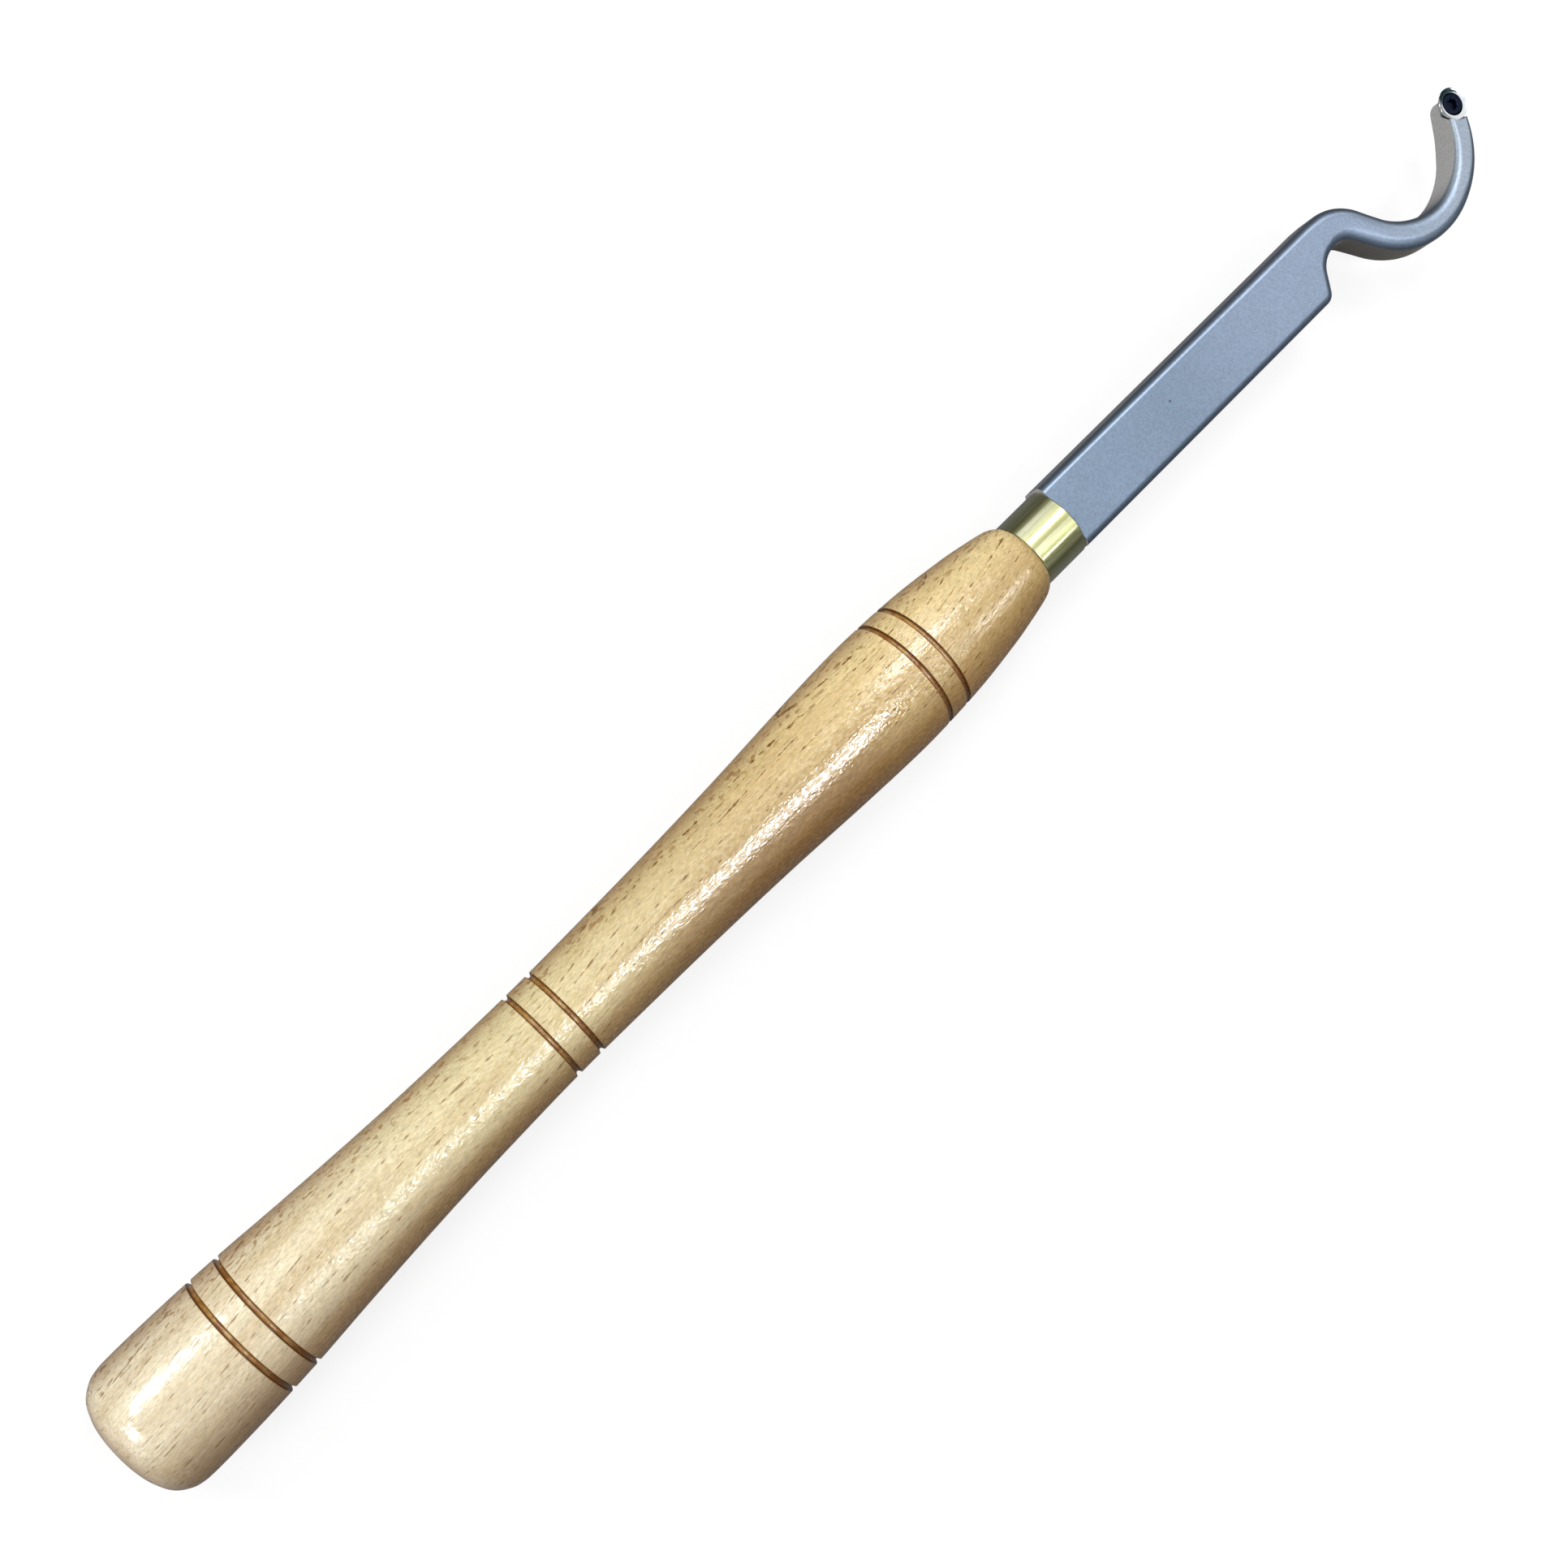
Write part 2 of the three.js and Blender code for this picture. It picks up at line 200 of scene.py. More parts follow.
# ---- shapes
def smooth_line(points, parts):
    """A smooth line through the points, with parts steps between each two."""
    line = []
    last = len(points) - 1
    for i in range(last):
        a, b, c, d = points[max(i - 1, 0)], points[i], points[i + 1], points[min(i + 2, last)]
        for k in range(parts):
            t = k / parts
            line.append(tuple(
                0.5 * (2 * q + (r - p) * t + (2 * p - 5 * q + 4 * r - s) * t * t
                       + (3 * q - p - 3 * r + s) * t ** 3)
                for p, q, r, s in zip(a, b, c, d)))
    return line + [points[-1]]


def along_line(line, x):
    """The second number of a line of pairs where the first is x."""
    for (xa, ya), (xb, yb) in zip(line, line[1:]):
        if xa <= x <= xb:
            return ya + (yb - ya) * (x - xa) / max(xb - xa, 1e-9)
    return line[-1][1]


def piece_from(name, points, faces, place):
    """A mesh piece from local points, put into the frame, with its faces turned outward."""
    bm = bmesh.new()
    verts = [bm.verts.new(place @ Vector(p)) for p in points]
    for face in faces:
        bm.faces.new([verts[i] for i in face])
    bmesh.ops.recalc_face_normals(bm, faces=bm.faces)
    mesh = bpy.data.meshes.new(name)
    bm.to_mesh(mesh)
    bm.free()
    obj = bpy.data.objects.new(name, mesh)
    bpy.context.scene.collection.objects.link(obj)
    return obj


def turned(name, profile, sides, place, swell=None):
    """A piece turned about its local Z from (height, radius) pairs. Where a radius is 0 the
    piece closes on its axis, and a profile that ends where it starts makes a ring. swell
    gives what is added to a radius at a height and an angle."""
    ring_form = profile[0] == profile[-1]
    rows = profile[:-1] if ring_form else profile
    points, rings = [], []
    for height, radius in rows:
        if radius == 0:
            rings.append([len(points)] * sides)
            points.append((0, 0, height))
            continue
        rings.append(list(range(len(points), len(points) + sides)))
        for k in range(sides):
            angle = 2 * math.pi * k / sides
            r = radius + (swell(height, angle) if swell else 0)
            points.append((r * math.cos(angle), r * math.sin(angle), height))
    if ring_form:
        rings.append(rings[0])
    faces = []
    for low, high in zip(rings, rings[1:]):
        for k in range(sides):
            n = (k + 1) % sides
            corners = [low[k], low[n], high[n], high[k]]
            face = [c for i, c in enumerate(corners) if c not in corners[:i]]
            if len(face) > 2:
                faces.append(face)
    return piece_from(name, points, faces, place)


def rounded_plate(name, outline, thickness, edge, steps, place):
    """A plate whose edges roll over, from an outline seen from above. Each place of the
    outline has how deep its upper edge rolls, and how far in."""
    count = len(outline)
    inward = []
    for i in range(count):
        before, after = outline[i - 1], outline[(i + 1) % count]
        dx, dy = after[0] - before[0], after[1] - before[1]
        run = math.hypot(dx, dy)
        inward.append((-dy / run, dx / run))
    points = []
    turns = [(-1, steps - k) for k in range(steps + 1)] + [(1, k) for k in range(steps + 1)]
    for side, k in turns:
        angle = k / steps * math.pi / 2
        for (x, y, deep, far), (nx, ny) in zip(outline, inward):
            inset = (far if side > 0 else edge) * (1 - math.cos(angle))
            height = side * (thickness / 2 - (deep if side > 0 else edge) * (1 - math.sin(angle)))
            points.append((x + nx * inset, y + ny * inset, height))
    faces = [list(range(count))[::-1],
             list(range(count * (len(turns) - 1), count * len(turns)))]
    for level in range(len(turns) - 1):
        for i in range(count):
            a, b = level * count + i, level * count + (i + 1) % count
            faces.append([a, b, b + count, a + count])
    return piece_from(name, points, faces, place)


def join_or_cut(obj, tool, operation):
    """Joins the tool to the piece, or cuts the piece with it, and uses the tool up."""
    step = obj.modifiers.new("step", "BOOLEAN")
    step.operation = operation
    step.solver = "EXACT"
    step.object = tool
    bpy.context.view_layer.update()
    made = bpy.data.meshes.new_from_object(obj.evaluated_get(bpy.context.evaluated_depsgraph_get()))
    obj.modifiers.clear()
    obj.data = made
    bpy.data.objects.remove(tool)


def shade(obj, sharp_angle):
    """Smooth shading, with edges sharper than the angle kept crisp."""
    mesh = obj.data
    mesh.polygons.foreach_set("use_smooth", [True] * len(mesh.polygons))
    bm = bmesh.new()
    bm.from_mesh(mesh)
    for e in bm.edges:
        e.smooth = len(e.link_faces) == 2 and e.calc_face_angle(0) < math.radians(sharp_angle)
    bm.to_mesh(mesh)
    bm.free()
    even = obj.modifiers.new("even shading", "WEIGHTED_NORMAL")
    even.keep_sharp = True


def keep_inside(obj, low, high):
    """Flattens what stands a hair proud of a box, where round forms meet its sides."""
    for v in obj.data.vertices:
        v.co = [min(max(c, a), b) for c, a, b in zip(v.co, low, high)]


def mark(obj, name, place, value_at):
    """Writes a number on every point of a turned piece, from its height and radius."""
    layer = obj.data.attributes.new(name, "FLOAT", "POINT")
    back = place.inverted()
    for v in obj.data.vertices:
        x, y, height = back @ v.co
        layer.data[v.index].value = value_at(height, math.hypot(x, y))


# ---- wiring of finishes
def colour(r, g, b):
    """A colour written as it looks, from 0 to 255, as the shader wants it."""
    def straight(c):
        return ((c / 255 + 0.055) / 1.055) ** 2.4 if c > 10 else c / 3294

    return straight(r), straight(g), straight(b), 1


# Beech
CREAM_WOOD = colour(233, 220, 190)
STRAW_WOOD = colour(218, 202, 155)
TAN_WOOD = colour(198, 170, 114)
SUNLIT_WOOD = colour(230, 206, 150)
BROAD_BANDS = colour(184, 148, 90)
# painted shade: browns for the right side of the handle and behind its belly
RIGHT_SIDE_SHADE = colour(138, 86, 12)
BELLY_SHADE_BROWN = colour(122, 74, 14)
BROWNER_LEFT_RIM = colour(160, 110, 54)
MOTTLING = colour(196, 170, 108)
FINE_DASHES = colour(148, 108, 28)
BOLD_DASHES = colour(120, 80, 0)
RAY_FLECKS = colour(150, 104, 50)
END_GRAIN = colour(214, 182, 150)
BURNT = colour(142, 90, 32)
GOLDEN_BURNT = colour(180, 140, 74)
# painted shade: the burn is darker down the right side
SHADED_BURNT = colour(110, 66, 24)
CHARRED = colour(74, 38, 10)
# Metals
PALE_BRASS = colour(140, 141, 98)
DULL_BRASS = colour(117, 117, 70)
STEEL_AT_FERRULE = colour(86, 99, 115)
STEEL_AT_BEND = colour(109, 121, 139)
STEEL_AT_NOSE = colour(128, 138, 150)
# painted shade on the rolled edges, and a painted highlight line along the left one
SHADED_RIGHT_EDGE = colour(68, 80, 95)
SHADED_LEFT_EDGE = colour(60, 71, 82)
SHADED_BUTT_EDGE = colour(68, 80, 96)
PAINTED_HIGHLIGHT_LINE = colour(134, 149, 168)
GREY_WALL = colour(104, 106, 114)
# painted light and shade on the walls, and a painted glint on the nose ridge
PAINTED_LIT_WALL = colour(222, 221, 220)
PAINTED_SHADE_UNDER_BEND = colour(120, 117, 112)
PAINTED_GLINT_ON_RIDGE = colour(140, 150, 160)
PIT = colour(50, 58, 68)
BRIGHT_CARBIDE = colour(226, 230, 233)
DARK_COUNTERSINK = colour(28, 36, 54)
BLACKENED_STEEL = colour(27, 34, 50)
# Studio
WHITE = (1, 1, 1, 1)
DARK_CORNER = colour(120, 200, 215)


def add(tree, kind, inputs=None, **settings):
    """A node with its settings, and its inputs set to values or joined to outputs."""
    node = tree.nodes.new(kind)
    for key, value in settings.items():
        setattr(node, key, value)
    for key, value in (inputs or {}).items():
        if isinstance(value, bpy.types.NodeSocket):
            tree.links.new(value, node.inputs[key])
        else:
            node.inputs[key].default_value = value
    return node


def sum_of(tree, operation, a, b=0.0, c=0.0):
    """A small sum on up to three values."""
    return add(tree, "ShaderNodeMath", {0: a, 1: b, 2: c}, operation=operation).outputs[0]


def times(tree, *values):
    """The product of two or more values."""
    product = values[0]
    for value in values[1:]:
        product = sum_of(tree, "MULTIPLY", product, value)
    return product


def on_places(tree, operation, inputs, output="Vector"):
    """A small sum on places."""
    return add(tree, "ShaderNodeVectorMath", inputs, operation=operation).outputs[output]


def apart(tree, vector):
    """The three numbers of a place or a direction, along X, Y and Z."""
    return add(tree, "ShaderNodeSeparateXYZ", {0: vector}).outputs


def way_it_faces(tree):
    """How far the surface faces the nose, the left and the top."""
    return apart(tree, add(tree, "ShaderNodeTexCoord").outputs["Normal"])


def between(tree, value, low, high, out_low=0.0, out_high=1.0):
    """A value taken softly from one range to another."""
    return add(tree, "ShaderNodeMapRange", {
        "Value": value, "From Min": low, "From Max": high, "To Min": out_low, "To Max": out_high,
    }, interpolation_type="SMOOTHSTEP").outputs["Result"]


def blend(tree, amount, a, b, how="MIX"):
    """Two colours blended by an amount."""
    node = add(tree, "ShaderNodeMix", {0: amount, 6: a, 7: b}, data_type="RGBA", blend_type=how)
    return node.outputs[2]


def stretch(tree, vector, x, y, z):
    """The place on the piece, drawn out along each way."""
    return add(tree, "ShaderNodeMapping", {"Vector": vector, "Scale": (x, y, z)}).outputs[0]


def grain_noise(tree, vector, detail=2.0, rough=0.5):
    """Soft noise from 0 to 1, one patch to each unit of the vector."""
    return add(tree, "ShaderNodeTexNoise", {
        "Vector": vector, "Scale": 1.0, "Detail": detail, "Roughness": rough}).outputs["Fac"]


def effect(name, inputs, outputs):
    """A shader node group with named inputs and outputs, and its two ends."""
    tree = bpy.data.node_groups.new(name, "ShaderNodeTree")
    for label, kind, start in inputs:
        socket = tree.interface.new_socket(label, in_out="INPUT", socket_type="NodeSocket" + kind)
        if start is not None:
            socket.default_value = start
    for label, kind in outputs:
        tree.interface.new_socket(label, in_out="OUTPUT", socket_type="NodeSocket" + kind)
    return tree, tree.nodes.new("NodeGroupInput"), tree.nodes.new("NodeGroupOutput")


def use(tree, group, inputs):
    """An effect placed in a material with its own values."""
    return add(tree, "ShaderNodeGroup", inputs, node_tree=group)


def in_patches(tree, place, patch):
    """The place on the piece, counted in patches."""
    return on_places(tree, "SCALE", {0: place, "Scale": sum_of(tree, "DIVIDE", 1.0, patch)})


def clouding_effect():
    """Slow uneven patches of tone: 1 in the middle, more or less by Amount."""
    tree, start, end = effect("clouding", [
        ("Place", "Vector", None), ("Patch", "Float", 20.0), ("Amount", "Float", 0.1),
    ], [("Tone", "Float")])
    near = in_patches(tree, start.outputs["Place"], start.outputs["Patch"])
    cloud = grain_noise(tree, near, 3.0, 0.55)
    swing = times(tree, sum_of(tree, "SUBTRACT", cloud, 0.5), start.outputs["Amount"])
    tree.links.new(sum_of(tree, "MULTIPLY_ADD", swing, 2.0, 1.0), end.inputs["Tone"])
    return tree


def turning_lines_effect():
    """Fine rings left by the lathe, from a place measured along or out from the axis."""
    tree, start, end = effect("turning lines", [
        ("Along", "Float", 0.0), ("Spacing", "Float", 0.1),
    ], [("Height", "Float")])
    ring = sum_of(tree, "DIVIDE", start.outputs["Along"], start.outputs["Spacing"])
    fine = add(tree, "ShaderNodeTexNoise", {
        "W": ring, "Scale": 1.0, "Detail": 3.0, "Roughness": 0.7}, noise_dimensions="1D")
    tree.links.new(fine.outputs["Fac"], end.inputs["Height"])
    return tree


def grit_effect():
    """A fine even grain, as blasting leaves on steel."""
    tree, start, end = effect("grit", [
        ("Place", "Vector", None), ("Grain", "Float", 0.25),
    ], [("Height", "Float")])
    near = in_patches(tree, start.outputs["Place"], start.outputs["Grain"])
    tree.links.new(grain_noise(tree, near, 3.0, 0.65), end.inputs["Height"])
    return tree


clouding = clouding_effect()
turning_lines = turning_lines_effect()
grit = grit_effect()


def finish(name):
    """A new material: its tree, its shader, and the place on the piece in millimetres."""
    material = bpy.data.materials.new(name)
    material.use_nodes = True
    tree = material.node_tree
    shader = tree.nodes["Principled BSDF"]
    where = add(tree, "ShaderNodeTexCoord").outputs["Object"]
    return material, tree, shader, stretch(tree, where, 1000, 1000, 1000)


def bump(tree, shader, height, distance, strength=1.0, under=None):
    """Relief too fine for the mesh, over another relief where there is one."""
    inputs = {"Height": height, "Distance": distance, "Strength": strength}
    if under is not None:
        inputs["Normal"] = under
    normal = add(tree, "ShaderNodeBump", inputs).outputs[0]
    tree.links.new(normal, shader.inputs["Normal"])
    return normal


def tint(tree, tone, base):
    """A colour made lighter or darker by a tone."""
    grey = add(tree, "ShaderNodeCombineColor", {0: tone, 1: tone, 2: tone}).outputs[0]
    return blend(tree, 1.0, base, grey, "MULTIPLY")


def dashes(tree, lay, across, spacing, long, width, least, rows):
    """Dark dashes where thin upright sheets in the wood are cut through. A dash runs along
    the grain and tapers to its ends. The sheets stand a spacing apart, and rows is how much
    a row of dashes comes and goes along its length."""
    along, _, up = lay
    sheets = sum_of(tree, "DIVIDE", across, spacing)
    index = sum_of(tree, "FLOOR", sheets)
    from_middle = sum_of(tree, "SUBTRACT", sum_of(tree, "FRACT", sheets), 0.5)
    off = times(tree, sum_of(tree, "ABSOLUTE", from_middle), spacing / width)
    where = add(tree, "ShaderNodeCombineXYZ", {
        0: sum_of(tree, "DIVIDE", along, long),
        1: times(tree, index, 7.31),
        2: sum_of(tree, "DIVIDE", up, long * 1.6)}).outputs[0]
    chain = add(tree, "ShaderNodeCombineXYZ", {
        0: sum_of(tree, "DIVIDE", along, 26.0), 1: times(tree, index, 3.77)}).outputs[0]
    row = sum_of(tree, "SUBTRACT", grain_noise(tree, chain, 1.0), 0.5)
    run = sum_of(tree, "MULTIPLY_ADD", row, rows, grain_noise(tree, where, 1.0))
    body = sum_of(tree, "MULTIPLY_ADD", sum_of(tree, "SUBTRACT", run, least), 11.0,
                  times(tree, off, -1.0))
    return between(tree, body, 0.0, 0.55)


def beech_finish():
    material, tree, shader, place = finish("lacquered beech")
    # the grain runs a few degrees off the axis and wanders a little
    wander = add(tree, "ShaderNodeTexNoise", {
        "Vector": stretch(tree, place, 0.012, 0.03, 0.03), "Scale": 1.0, "Detail": 1.0})
    drift = on_places(tree, "SUBTRACT", {0: wander.outputs["Color"], 1: (0.5, 0.5, 0.5)})
    drift = on_places(tree, "SCALE", {0: drift, "Scale": 11.0})
    grain = add(tree, "ShaderNodeMapping", {
        "Vector": on_places(tree, "ADD", {0: place, 1: drift}),
        "Rotation": (0, math.radians(1.2), math.radians(-2.6))}).outputs[0]

    along = apart(tree, place)[0]
    to_nose, to_left, _ = way_it_faces(tree)
    lay = apart(tree, grain)
    across = sum_of(tree, "MULTIPLY_ADD", lay[2], 0.16, lay[1])

    fibre = grain_noise(tree, stretch(tree, grain, 0.05, 2.2, 2.2), 4.0, 0.6)
    speck = grain_noise(tree, stretch(tree, grain, 0.6, 2.0, 2.0), 2.0, 0.6)
    mottle = grain_noise(tree, stretch(tree, grain, 0.9, 1.3, 1.3), 3.0, 0.65)
    broad = grain_noise(tree, stretch(tree, grain, 0.012, 0.16, 0.1))
    shade_on_right = between(tree, to_left, -0.15, -1.0)
    sunny = between(tree, to_left, 0.0, 0.7)

    # cream at the butt, tan toward the nose. Painted light makes the left side lighter near the
    # front, and painted shade makes the right side browner, most of all behind the belly
    base = blend(tree, between(tree, along, -225.0, -110.0), CREAM_WOOD, STRAW_WOOD)
    base = blend(tree, between(tree, along, -120.0, 10.0), base, TAN_WOOD)
    # painted light: the left side is lighter near the front
    front = between(tree, along, -60.0, 0.0)
    base = blend(tree, times(tree, sunny, front), base, SUNLIT_WOOD)
    base = blend(tree, between(tree, broad, 0.42, 0.7, 0.0, 0.36), base, BROAD_BANDS)
    # painted shade: the right side is browner
    base = blend(tree, times(tree, shade_on_right, 0.85), base, RIGHT_SIDE_SHADE)
    # painted shade: darker still on the right behind the belly
    behind = times(tree, between(tree, along, -100.0, -40.0), between(tree, along, 12.0, -22.0))
    shaded = times(tree, behind, between(tree, to_left, 0.35, -0.4, 0.0, 0.6))
    base = blend(tree, shaded, base, BELLY_SHADE_BROWN)
    # the far left side is browner too
    base = blend(tree, between(tree, to_left, 0.78, 1.0, 0.0, 0.6), base, BROWNER_LEFT_RIM)
    streak = between(tree, fibre, 0.25, 0.75, -0.5, 0.5)
    depth = sum_of(tree, "ADD", between(tree, shade_on_right, 0.0, 1.0, 0.13, 0.28),
                   between(tree, along, -130.0, -20.0, 0.0, 0.08))
    base = tint(tree, sum_of(tree, "MULTIPLY_ADD", streak, depth, 1.0), base)
    base = tint(tree, between(tree, speck, 0.25, 0.75, 0.85, 1.12), base)
    base = blend(tree, between(tree, mottle, 0.48, 0.72, 0.0, 0.4), base, MOTTLING)

    # rows of dashes: bold ones far apart, finer and paler ones between them
    fine = dashes(tree, lay, across, 1.15, 1.5, 0.06, 0.52, 0.35)
    bold = dashes(tree, lay, across, 2.7, 2.2, 0.085, 0.505, 0.6)
    strength = between(tree, along, -190.0, 20.0, 0.65, 1.0)
    base = blend(tree, times(tree, fine, times(tree, strength, 0.7)), base, FINE_DASHES)
    base = blend(tree, times(tree, bold, strength), base, BOLD_DASHES)
    rays = grain_noise(tree, stretch(tree, grain, 0.45, 0.8, 0.8))
    flecks = times(tree, between(tree, rays, 0.57, 0.64),
                   between(tree, to_left, 0.6, 0.88, 0.0, 0.75))
    base = blend(tree, flecks, base, RAY_FLECKS)

    # end grain at the butt is pinker
    end_grain = between(tree, to_nose, -0.35, -0.95)
    base = blend(tree, times(tree, end_grain, 0.5), base, END_GRAIN)
    patches = use(tree, clouding, {"Place": place, "Patch": 34.0, "Amount": 0.05})
    base = tint(tree, patches.outputs["Tone"], base)

    # the grooves are burnt: golden brown inside, with charred edges
    scorch = add(tree, "ShaderNodeAttribute", attribute_name="scorch").outputs["Fac"]
    char = add(tree, "ShaderNodeAttribute", attribute_name="char").outputs["Fac"]
    uneven = grain_noise(tree, stretch(tree, place, 0.3, 0.35, 0.35), 3.0, 0.6)
    burnt = blend(tree, between(tree, uneven, 0.4, 0.65), BURNT, GOLDEN_BURNT)
    # painted shade: the burn is darker brown down the right side
    burnt = blend(tree, shade_on_right, burnt, SHADED_BURNT)
    base = blend(tree, scorch, base, burnt)
    charred = times(tree, char, between(tree, uneven, 0.3, 0.6, 0.7, 1.0))
    base = blend(tree, charred, base, CHARRED)
    tree.links.new(base, shader.inputs["Base Color"])

    # the lacquer is full and even at the butt, and thin in fine spots farther on
    gloss = grain_noise(tree, stretch(tree, grain, 0.65, 1.2, 1.2), 2.0, 0.6)
    thin = between(tree, along, -215.0, -170.0, 0.15, 0.36)
    tree.links.new(between(tree, gloss, 0.45, 0.58, 0.07, thin), shader.inputs["Roughness"])
    shader.inputs["IOR"].default_value = 1.6

    # it lies smooth at the butt and ripples over the grain farther on
    ripple = grain_noise(tree, stretch(tree, place, 0.35, 0.65, 0.65), 3.0, 0.45)
    orange_peel = times(tree, grain_noise(tree, stretch(tree, grain, 0.52, 1.05, 1.05), 2.0, 0.6),
                        between(tree, along, -215.0, -170.0, 0.7, 1.45))
    under = bump(tree, shader, sum_of(tree, "ADD", ripple, orange_peel), 0.00009)
    sunk = sum_of(tree, "SUBTRACT", 1.0, sum_of(tree, "MAXIMUM", fine, bold))
    bump(tree, shader, sunk, 0.00005, 0.5, under)
    return material


def brass_finish():
    material, tree, shader, place = finish("turned brass")
    lines = use(tree, turning_lines, {"Along": apart(tree, place)[0], "Spacing": 0.12})
    patches = use(tree, clouding, {"Place": place, "Patch": 6.0, "Amount": 0.12})
    # long streaks along the tube
    streak = grain_noise(tree, stretch(tree, place, 0.04, 0.9, 0.9), 3.0, 0.6)
    base = blend(tree, between(tree, streak, 0.3, 0.7), PALE_BRASS, DULL_BRASS)
    base = tint(tree, patches.outputs["Tone"], base)
    tree.links.new(base, shader.inputs["Base Color"])
    shader.inputs["Metallic"].default_value = 1.0
    tree.links.new(between(tree, streak, 0.2, 0.8, 0.26, 0.34), shader.inputs["Roughness"])
    shader.inputs["Coat Weight"].default_value = 1.0
    shader.inputs["Coat IOR"].default_value = 1.65
    shader.inputs["Coat Roughness"].default_value = 0.12
    bump(tree, shader, lines.outputs["Height"], 0.000014, 0.5)
    return material


def blasted_steel_finish():
    material, tree, shader, place = finish("blasted steel")
    grains = use(tree, grit, {"Place": place, "Grain": 0.4}).outputs["Height"]
    patches = use(tree, clouding, {"Place": place, "Patch": 30.0, "Amount": 0.16})
    speckle = grain_noise(tree, stretch(tree, place, 1.7, 1.7, 1.7), 3.0, 0.65)
    along = apart(tree, place)[0]
    to_nose, to_left, to_top = way_it_faces(tree)

    # lighter toward the nose
    base = blend(tree, between(tree, along, 100.0, 185.0), STEEL_AT_FERRULE, STEEL_AT_BEND)
    base = blend(tree, between(tree, along, 178.0, 226.0), base, STEEL_AT_NOSE)
    # painted shade on the rolled edges: darker on the right, and darker on the left below a painted
    # highlight line
    shaded_right_roll = times(tree, between(tree, to_top, 0.995, 0.95),
                       between(tree, to_left, -0.02, -0.2),
                       between(tree, to_nose, 0.2, 0.6, 1.0, 0.3), 0.85)
    base = blend(tree, shaded_right_roll, base, SHADED_RIGHT_EDGE)
    shaded_left_roll = times(tree, between(tree, to_top, 0.97, 0.8),
                      between(tree, to_left, 0.05, 0.3), 0.85)
    base = blend(tree, shaded_left_roll, base, SHADED_LEFT_EDGE)
    # painted shade: rolled edges that face the butt near the nose are darker
    shaded_butt_roll = times(tree, between(tree, to_top, 0.98, 0.8),
                      between(tree, to_nose, -0.08, -0.4),
                      between(tree, along, 222.0, 205.0, 0.0, 0.85))
    base = blend(tree, shaded_butt_roll, base, SHADED_BUTT_EDGE)
    # painted highlight: a lighter line along the top of the left edge
    highlight_line = times(tree, between(tree, to_left, 0.05, 0.25),
                   between(tree, to_top, 0.9, 0.97), 0.75)
    base = blend(tree, highlight_line, base, PAINTED_HIGHLIGHT_LINE)

    # the walls are a warmer grey; painted light makes those that face the butt the lightest, and
    # painted shade darkens them under the first bend
    to_butt = between(tree, to_nose, 0.12, -0.5)
    wall = blend(tree, to_butt, GREY_WALL, PAINTED_LIT_WALL)
    shade_under_bend = times(tree, to_butt, between(tree, to_left, 0.1, -0.5))
    wall = blend(tree, shade_under_bend, wall, PAINTED_SHADE_UNDER_BEND)
    base = blend(tree, between(tree, to_top, 0.6, 0.1), base, wall)
    # painted highlight: a light glint along the ridge near the nose, on edges that face the butt
    ridge = times(tree, between(tree, to_top, 0.25, 0.5), between(tree, to_top, 0.95, 0.75),
                  to_butt, between(tree, along, 200.0, 218.0, 0.0, 0.75))
    base = blend(tree, ridge, base, PAINTED_GLINT_ON_RIDGE)

    base = tint(tree, between(tree, speckle, 0.25, 0.75, 0.85, 1.13), base)
    base = tint(tree, patches.outputs["Tone"], base)
    # one small pit in the top of the bar
    pit = on_places(tree, "DISTANCE", {0: place, 1: (113.4, 2.4, 23.3)}, "Value")
    base = blend(tree, between(tree, pit, 0.42, 0.28), base, PIT)
    tree.links.new(base, shader.inputs["Base Color"])
    shader.inputs["Metallic"].default_value = 0.7
    tree.links.new(between(tree, grains, 0.3, 0.7, 0.42, 0.56), shader.inputs["Roughness"])
    bump(tree, shader, grains, 0.00006, 0.5)
    return material


def carbide_finish():
    material, tree, shader, place = finish("ground carbide")
    patches = use(tree, clouding, {"Place": place, "Patch": 1.6, "Amount": 0.06})
    base = tint(tree, patches.outputs["Tone"], BRIGHT_CARBIDE)
    # the countersink and the hole inside the ring are dark
    sunk = add(tree, "ShaderNodeAttribute", attribute_name="sunk").outputs["Fac"]
    base = blend(tree, sunk, base, DARK_COUNTERSINK)
    tree.links.new(base, shader.inputs["Base Color"])
    shader.inputs["Metallic"].default_value = 1.0
    gloss = grain_noise(tree, stretch(tree, place, 3.0, 3.0, 3.0), 2.0, 0.6)
    tree.links.new(between(tree, gloss, 0.3, 0.7, 0.08, 0.16), shader.inputs["Roughness"])
    fine = use(tree, grit, {"Place": place, "Grain": 0.12})
    bump(tree, shader, fine.outputs["Height"], 0.000004, 0.4)
    return material


def screw_finish():
    material, tree, shader, place = finish("blackened screw steel")
    patches = use(tree, clouding, {"Place": place, "Patch": 1.8, "Amount": 0.25})
    base = tint(tree, patches.outputs["Tone"], BLACKENED_STEEL)
    tree.links.new(base, shader.inputs["Base Color"])
    shader.inputs["Metallic"].default_value = 1.0
    grains = use(tree, grit, {"Place": place, "Grain": 0.18}).outputs["Height"]
    tree.links.new(between(tree, grains, 0.3, 0.7, 0.28, 0.42), shader.inputs["Roughness"])
    bump(tree, shader, grains, 0.00001, 0.5)
    return material


# ---- pieces
def nearest_groove(along):
    """How far the middle of the nearest groove is from a place along the handle."""
    return min(abs(along - share * HANDLE_LENGTH) for share in GROOVE_PLACES)


def groove_at(along):
    """How deep the nearest groove is cut at a place along the handle, in millimetres."""
    across = min(nearest_groove(along) / (GROOVE_WIDTH / 2), 1)
    return GROOVE_DEPTH * (1 - across ** GROOVE_FULLNESS)


